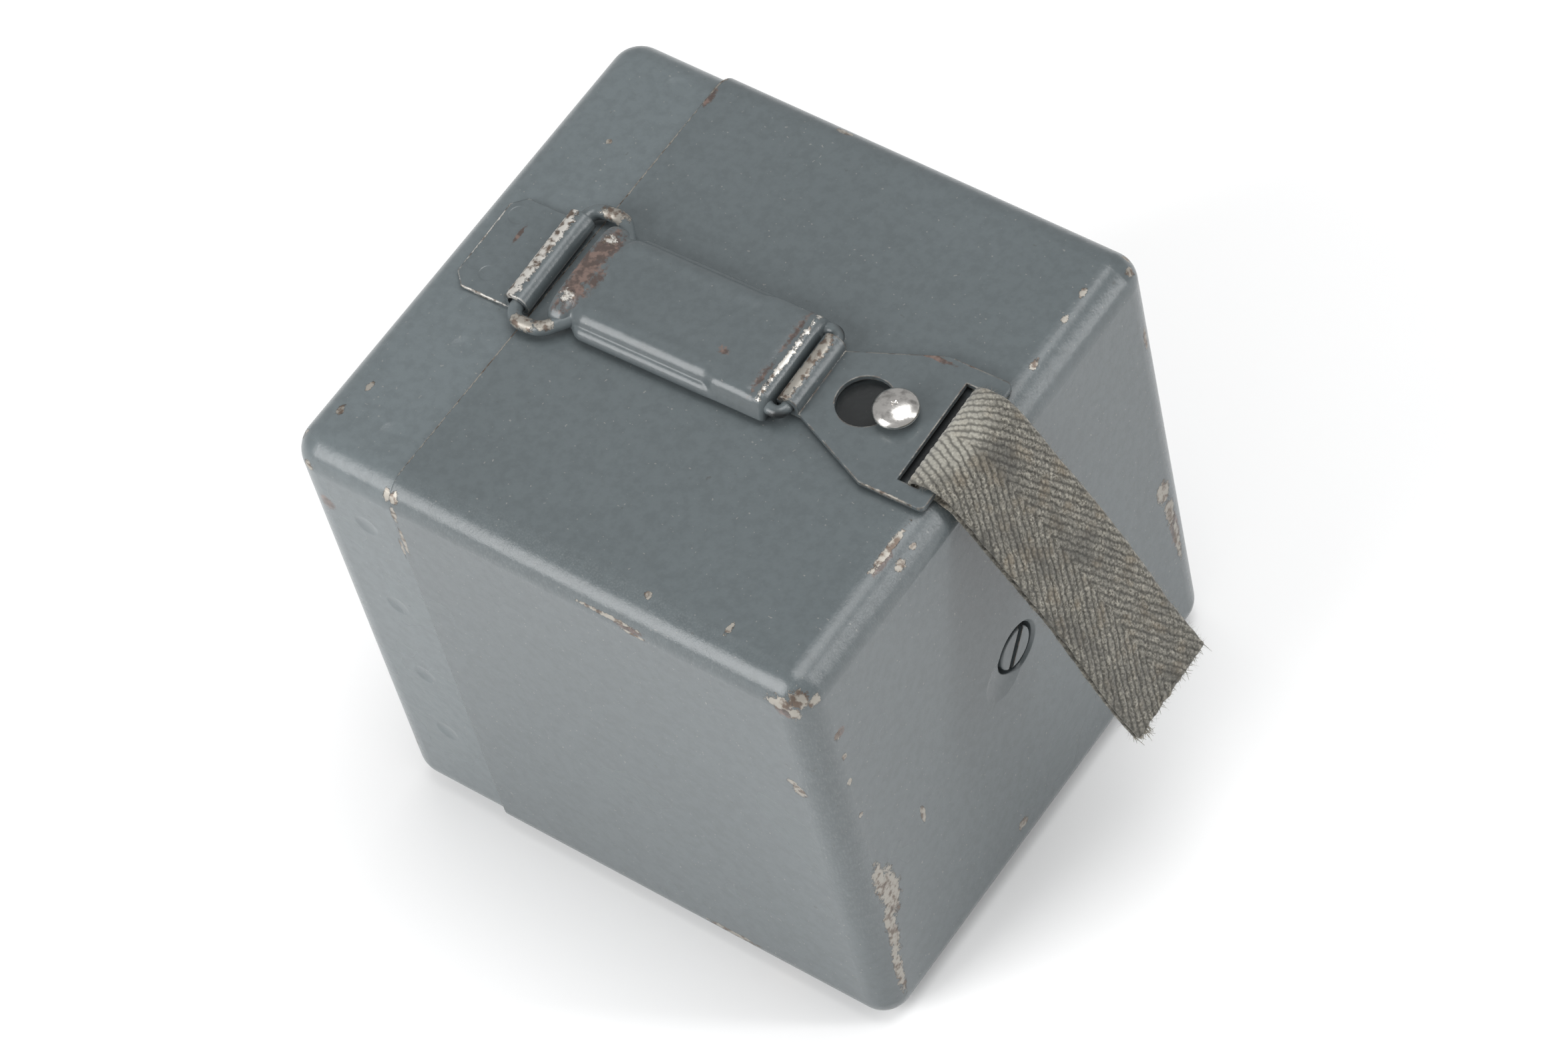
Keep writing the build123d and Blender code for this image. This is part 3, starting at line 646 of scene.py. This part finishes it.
def make_fibres(line):
    """Lint along the webbing's edges and face, and ravelled yarns at its cut ends."""
    draw = random.Random(7)
    vertices = []
    faces = []

    def put(index, w, away, size, radius, lift):
        place = line[index]
        run = direction_at(line, index)
        outward = Vector((run.y, -run.x))
        spot = place + outward * lift
        start = latch_place(spot.x, w, spot.y)
        up = ALONG * outward.x + Vector((0, 0, outward.y))
        way = (away * 0.8 + up * draw.uniform(-0.1, 0.5) + random_way(draw) * 0.6).normalized()
        bend = random_way(draw) * 0.8
        add_fibre(vertices, faces, start, way, size * MM, radius * MM, bend)

    count = len(line)
    for _ in range(EDGE_LINT):
        side = draw.choice((-1, 1))
        index = draw.randrange(count)
        put(index, side * STRAP_WIDTH / 2, ACROSS * side, draw.uniform(0.3, 1.1), 0.018, 0.0)
    for _ in range(FACE_LINT):
        index = draw.randrange(count)
        w = draw.uniform(-0.5, 0.5) * STRAP_WIDTH
        run = direction_at(line, index)
        up = ALONG * run.y + Vector((0, 0, -run.x))
        put(index, w, up * 0.5, draw.uniform(0.3, 1.0), 0.016, STRAP_PLY / 2 - 0.05)
    for index in (0, count - 1):
        run = direction_at(line, index) * (-1 if index == 0 else 1)
        away = ALONG * run.x + Vector((0, 0, run.y))
        for _ in range(CUT_YARNS):
            w = draw.uniform(-0.5, 0.5) * STRAP_WIDTH
            put(index, w, away, draw.uniform(0.4, 1.5), draw.choice((0.02, 0.03, 0.09)), 0.0)
        for _ in range(CORNER_YARNS):
            w = -STRAP_WIDTH / 2 + draw.uniform(0.0, 3.0)
            put(index, w, away, draw.uniform(0.8, 2.4), 0.12, 0.0)
    fibres = new_piece("webbing_lint", vertices, faces)
    fibres.data.materials.append(webbing_lint())
    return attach(fibres, "plate")


# ---- latch cover: stamped from one sheet, in sections from its lip to its end

COVER_SHEET = 0.7
LIP_PROFILE = [
    (0, 4.9), (2, 4.9), (4, 4.9), (5.6, 4.9), (6.8, 4.88), (7.8, 4.8), (8.6, 4.6), (9.25, 4.3),
    (9.7, 3.95), (9.98, 3.6), (10.12, 3.35), (10.2, 3.15), (10.22, 3.0), (10.22, 2.9),
]
NECK_PROFILE = [
    (0, 4.9), (2, 4.9), (4, 4.9), (5.4, 4.86), (6.3, 4.7), (7.1, 4.4), (7.8, 4.15), (8.4, 3.9),
    (8.8, 3.55), (9.05, 3.1), (9.2, 2.65), (9.3, 2.2), (9.4, 1.8), (9.5, 1.5),
]
CHANNEL_PROFILE = [
    (0, 4.9), (2, 4.9), (4, 4.88), (5.4, 4.82), (6.6, 5.0), (7.5, 5.06), (8.3, 4.82), (8.95, 4.3),
    (9.3, 3.7), (9.5, 3.2), (9.85, 2.88), (10.35, 2.7), (10.72, 2.3), (10.8, 1.1),
]
PLAIN_PROFILE = [
    (0, 4.9), (2, 4.9), (4, 4.9), (6, 4.9), (7.4, 4.9), (8.4, 4.88), (9.0, 4.74), (9.4, 4.4),
    (9.7, 3.9), (9.95, 3.3), (10.2, 2.7), (10.42, 2.1), (10.58, 1.5), (10.7, 1.1),
]
COVER_START = -27.4
COVER_END = 17.0
COVER_STEP = 0.45
COVER_FOOT = 1.1
# Where each profile holds along the cover, as (u, profile).
COVER_STATIONS = [
    (COVER_START, LIP_PROFILE), (-24.6, LIP_PROFILE), (-23.5, NECK_PROFILE), (-22.9, NECK_PROFILE),
    (-20.6, CHANNEL_PROFILE), (4.6, CHANNEL_PROFILE), (7.4, PLAIN_PROFILE), (COVER_END, PLAIN_PROFILE),
]
# The rounded end and the wall below it, as (u, share of the height above the foot).
END_WALL = [
    (16.2, 1.0), (16.55, 0.985), (16.8, 0.94), (16.93, 0.86), (COVER_END, 0.7), (COVER_END, 0.35),
    (COVER_END, 0.0),
]
# The lip's corners draw in from this place on.
LIP_CORNER = -26.6


def ease(share):
    share = min(max(share, 0.0), 1.0)
    return share * share * (3 - 2 * share)


def cover_profile(u):
    for (low, first), (high, second) in zip(COVER_STATIONS, COVER_STATIONS[1:]):
        if u <= high:
            share = ease((u - low) / (high - low))
            return [Vector(a).lerp(Vector(b), share) for a, b in zip(first, second)]
    return [Vector(point) for point in PLAIN_PROFILE]


def cover_rise(u, w):
    """The shallow groove and the rolled bead before the cover's end, and gentle dents."""
    bead = 0.22 * math.exp(-(((u - 16.0) / 0.55) ** 2)) - 0.16 * math.exp(-(((u - 14.5) / 0.8) ** 2))
    dents = 0.07 * noise.noise(Vector((u * 0.16, w * 0.2, 2)))
    return (bead + dents) * ease((10.2 - abs(w)) / 2.0)


def cover_sections():
    """Places along the cover, each with its share of the full height."""
    sections = []
    while COVER_START + COVER_STEP * len(sections) < END_WALL[0][0]:
        sections.append((COVER_START + COVER_STEP * len(sections), 1.0))
    return sections + END_WALL


def make_cover():
    sections = cover_sections()
    vertices = []
    for u, height in sections:
        half = cover_profile(u)
        corner = max(0.0, (LIP_CORNER - u) / 0.8)
        row = [(-w, h) for w, h in reversed(half[1:])] + [(w, h) for w, h in half]
        for w, h in row:
            level = COVER_FOOT + (h - COVER_FOOT) * height + cover_rise(u, w) * height
            drawn_in = u + 0.35 * corner * (w / 9.6) ** 4
            vertices.append(latch_place(drawn_in, w * (1 - 0.05 * corner), level))
    columns = 2 * len(LIP_PROFILE) - 1
    cover = new_piece("stamped_cover", vertices, grid_faces(len(sections), columns))
    sheet = cover.modifiers.new("sheet", "SOLIDIFY")
    sheet.thickness = COVER_SHEET * MM
    sheet.offset = -1
    finer = cover.modifiers.new("finer", "SUBSURF")
    finer.levels = finer.render_levels = 2
    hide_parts("latch_cover")
    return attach(cover, "cover")


# ---- bail springs: the real ones shorten as the cover is pulled, this coil keeps one length

SPRING_START = -20.9
SPRING_END = -0.65
SPRING_COILS = 11
STEPS_PER_COIL = 24
WIRE_SIDES = 8
SPRING_RADIUS = 1.42
SPRING_WIRE = 0.24
LEG_W = 7.9
LEG_H = 2.8


def make_springs():
    vertices = []
    faces = []
    steps = SPRING_COILS * STEPS_PER_COIL
    for w in (-LEG_W, LEG_W):
        first = len(vertices)
        for step in range(steps + 1):
            u = SPRING_START + (SPRING_END - SPRING_START) * step / steps
            angle = 2 * math.pi * step / STEPS_PER_COIL
            for side in range(WIRE_SIDES):
                around = 2 * math.pi * side / WIRE_SIDES
                radius = SPRING_RADIUS + SPRING_WIRE * math.cos(around)
                place = (w + radius * math.cos(angle), LEG_H + radius * math.sin(angle))
                vertices.append(latch_place(u + SPRING_WIRE * math.sin(around), *place))
        for step in range(steps):
            for side in range(WIRE_SIDES):
                a = first + step * WIRE_SIDES + side
                b = first + step * WIRE_SIDES + (side + 1) % WIRE_SIDES
                faces.append((a, b, b + WIRE_SIDES, a + WIRE_SIDES))
        last = first + steps * WIRE_SIDES
        faces.append(tuple(range(first, first + WIRE_SIDES))[::-1])
        faces.append(tuple(range(last, last + WIRE_SIDES)))
    springs = new_piece("coil_springs", vertices, faces)
    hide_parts("bail_springs")
    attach(springs, "bail")
    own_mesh(springs)
    return springs


# ---- finish of the carried-over pieces


def paint_nodes(material, *names):
    for name in names:
        mesh = NODES[name].data
        mesh.materials.clear()
        mesh.materials.append(material)


def latch_finishes():
    """Enamel of the latch's plate, cover and keyhole plate, each with its own wear."""
    plate = enamel(
        "lid_plate_enamel",
        [
            latch_spot(-35.5, 1.0, 3.9, (2.0, 24.0, 2.4)),
            latch_spot(-35.2, -10.6, 3.2, (2.2, 1.0, 2.6)),
            latch_spot(-49.0, 0.0, 0.4, (0.5, 12.0, 0.9)),
            latch_spot(-42.0, -10.6, 0.4, (7.0, 0.5, 0.9)),
        ],
        rust_spots=[latch_spot(-43.5, 3.2, 0.6, (0.7, 3.0, 0.8))],
        welds=[
            latch_spot(-46.1, 6.65, 0.5, (2.1, 2.1, 1.0)),
            latch_spot(-43.7, -6.2, 0.5, (1.8, 1.8, 1.0)),
        ],
        edge_wear=0.12,
        steel=BRIGHT_STEEL,
    )
    cover = enamel(
        "cover_enamel",
        [
            latch_spot(-25.3, 6.5, 4.9, (2.1, 2.0, 1.6)),
            latch_spot(-25.3, -6.6, 4.9, (2.1, 2.2, 1.6)),
            latch_spot(16.2, 0.0, 5.2, (0.9, 20.0, 1.1)),
        ],
        rust_spots=[
            latch_spot(-25.4, 0.0, 4.9, (3.6, 15.0, 2.4)),
            latch_spot(-24.6, 5.0, 4.9, (3.4, 5.0, 2.4)),
            latch_spot(-24.8, -5.5, 4.9, (3.2, 4.0, 2.4)),
            latch_spot(-22.6, -2.0, 4.9, (2.2, 6.5, 1.4)),
            latch_spot(14.5, 4.5, 4.8, (1.5, 8.5, 1.4)),
            latch_spot(14.4, -5.5, 4.8, (1.7, 6.5, 1.4)),
            latch_spot(5.6, -4.0, 4.9, (2.6, 1.7, 1.2)),
        ],
        tone=0.95,
        steel=BRIGHT_STEEL,
    )
    keyhole = enamel(
        "keyhole_enamel",
        [
            latch_spot(20.0, 0.0, 5.0, (1.7, 18.0, 1.5)),
            latch_spot(18.9, -4.0, 4.3, (1.1, 6.0, 1.2)),
            latch_spot(26.5, 0.0, 1.9, (0.6, 3.5, 0.6)),
            latch_spot(45.0, -14.3, 1.6, (8.0, 0.4, 0.6)),
        ],
        rust_spots=[
            latch_spot(36.0, 13.0, 1.8, (7.0, 0.8, 1.0)),
            latch_spot(43.0, 14.6, 1.8, (5.0, 0.8, 1.0)),
        ],
        tone=0.93,
        edge_wear=0.20,
    )
    return plate, cover, keyhole


def worn_paint_wire():
    """Painted wire, rubbed to the steel on the bends that get knocked."""
    return enamel(
        "wire_enamel",
        [
            latch_spot(-28.8, 12.6, 3.4, (4.2, 2.6, 2.2)),
            latch_spot(-30.6, -13.6, 3.0, (3.6, 2.4, 2.2)),
            latch_spot(-27.0, -12.2, 3.6, (2.6, 2.2, 1.8)),
        ],
        # The link wire's elbows beyond the cover's end are darkened towards near black.
        darkened_spots=[
            latch_spot(20.0, 10.0, 1.6, (3.0, 4.0, 3.0)),
            latch_spot(20.0, -10.0, 1.6, (3.0, 4.0, 3.0)),
        ],
        tone=1.05,
    )


def finish_nodes():
    """Finishes of all nodes, with the cover, the springs and the strap that replace theirs."""
    plate, cover, keyhole = latch_finishes()
    # Painted shade: the case top under the keyhole plate and its slot, darkened near black.
    painted_shade_under_plate = [
        latch_spot(31.0, 0.0, 0.0, (7.0, 7.0, 0.9)),
        latch_spot(44.5, 0.0, 0.0, (2.6, 13.5, 0.9)),
    ]
    case = enamel("case_enamel", CASE_CHIPS, CASE_RUST, CASE_SCUFFS, painted_shade_under_plate)
    lid = enamel("lid_enamel", LID_CHIPS, CASE_RUST[:1], CASE_SCUFFS[:1], tone=1.2)
    paint_nodes(case, "body_shell", "hinge_leaf_body")
    paint_nodes(lid, "lid_shell", "hinge_leaf_lid")
    paint_nodes(plate, "latch_base_plate")
    paint_nodes(cover, "cover_base")
    make_cover().data.materials.append(cover)
    paint_nodes(keyhole, "keyhole_plate")
    paint_nodes(enamel("screw_enamel", edge_wear=0.35, steel=DIRT), "end_screw")
    paint_nodes(worn_paint_wire(), "wire_bail", "link_wire")
    bright = worn_steel("bright_steel", (0.72, 0.70, 0.67), 0.22)
    paint_nodes(bright, "stud", "stud_plate", "hinge_pin", "spindle")
    plated = worn_steel("plated_steel", (0.55, 0.55, 0.54), 0.35)
    paint_nodes(plated, "bail_washers", "bail_nuts", "link_anchor", "screw_washer", "retaining_washer")
    spring = worn_steel("spring_steel", (0.28, 0.28, 0.28), 0.35)
    paint_nodes(spring, "drag_washer")
    make_springs().data.materials.append(spring)
    paint_nodes(plain("inner_paint", (0.02, 0.02, 0.021), 0.7), "lid_band")
    paint_nodes(plain("felt", (0.018, 0.018, 0.018), 0.95, grain=0.0001), "light_seal", "lid_pad")
    paint_nodes(plain("turned_aluminium", (0.68, 0.68, 0.69), 0.35, 1.0), "spool_hub")
    flange = plain("flange_paint", (0.03, 0.03, 0.032), 0.45)
    paint_nodes(flange, "spool_flange_outer", "spool_divider", "spool_flange_inner")
    paint_nodes(plain("core_plastic", (0.03, 0.03, 0.03), 0.5), "film_core_outer", "film_core_inner")
    paint_nodes(plain("film_edges", (0.07, 0.055, 0.06), 0.3), "film_roll_outer", "film_roll_inner")
    paint_nodes(plain("turned_brass", (0.70, 0.50, 0.22), 0.3, 1.0), "retaining_nut")
    make_strap()


# ---- stage

FLOOR_SIZE = 6.0
FLOOR_SHADE = 0.95
WORLD_STRENGTH = 0.45
# Name, place, target, size and power of each light.
LIGHTS = [
    ("front_light", (-0.45, -1.10, 0.70), (0, 0, 0.05), (0.7, 1.0), 15),
    ("end_strip", (1.10, 0.53, 0.66), (0, 0, 0.08), (0.15, 1.3), 6),
    ("overhead_light", (0.20, 0.25, 1.40), (0, 0, 0.0), (0.9, 0.9), 11),
]
CAMERA_PLACE = Vector((0.4277, -0.3813, 0.8541))
CAMERA_AZIMUTH = 47.903
CAMERA_ELEVATION = 54.371
CAMERA_ROLL = 15.794
CAMERA_LENS = 126.83


def make_floor():
    mesh = bpy.data.meshes.new("floor")
    half = FLOOR_SIZE / 2
    corners = [(-half, -half, 0), (half, -half, 0), (half, half, 0), (-half, half, 0)]
    mesh.from_pydata(corners, [], [(0, 1, 2, 3)])
    floor = bpy.data.objects.new("floor", mesh)
    bpy.context.scene.collection.objects.link(floor)
    material = bpy.data.materials.new("pale_floor")
    material.use_nodes = True
    shader = material.node_tree.nodes["Principled BSDF"]
    shader.inputs["Base Color"].default_value = (FLOOR_SHADE, FLOOR_SHADE, FLOOR_SHADE, 1)
    shader.inputs["Roughness"].default_value = 0.6
    shader.inputs["Specular IOR Level"].default_value = 0.2
    floor.data.materials.append(material)


def soft_light(name, place, target, size, power):
    data = bpy.data.lights.new(name, "AREA")
    data.shape = "RECTANGLE"
    data.size, data.size_y = size
    data.energy = power
    light = bpy.data.objects.new(name, data)
    light.location = place
    light.rotation_mode = "QUATERNION"
    light.rotation_quaternion = (Vector(target) - Vector(place)).to_track_quat("-Z", "Y")
    bpy.context.scene.collection.objects.link(light)


def light_scene():
    world = bpy.data.worlds.new("studio")
    world.use_nodes = True
    background = world.node_tree.nodes["Background"]
    background.inputs["Color"].default_value = (1.0, 1.0, 1.0, 1)
    background.inputs["Strength"].default_value = WORLD_STRENGTH
    bpy.context.scene.world = world
    for light in LIGHTS:
        soft_light(*light)


def make_camera():
    data = bpy.data.cameras.new("camera")
    data.lens = CAMERA_LENS
    data.sensor_width = 36.0
    data.clip_start = 0.05
    data.clip_end = 20.0
    camera = bpy.data.objects.new("camera", data)
    azimuth = math.radians(CAMERA_AZIMUTH)
    elevation = math.radians(CAMERA_ELEVATION)
    roll = math.radians(CAMERA_ROLL)
    right = Vector((math.cos(azimuth), math.sin(azimuth), 0))
    east = math.sin(azimuth) * math.cos(elevation)
    south = math.cos(azimuth) * math.cos(elevation)
    back = Vector((east, -south, math.sin(elevation)))
    up = back.cross(right)
    rolled_right = right * math.cos(roll) - up * math.sin(roll)
    rolled_up = back.cross(rolled_right)
    turn = Matrix((rolled_right, rolled_up, back)).transposed()
    camera.matrix_world = Matrix.Translation(CAMERA_PLACE) @ turn.to_4x4()
    bpy.context.scene.collection.objects.link(camera)
    bpy.context.scene.camera = camera


def set_colour_view():
    view = bpy.context.scene.view_settings
    view.view_transform = "Standard"
    view.look = "None"


make_camera()
light_scene()
make_floor()
set_colour_view()
finish_nodes()
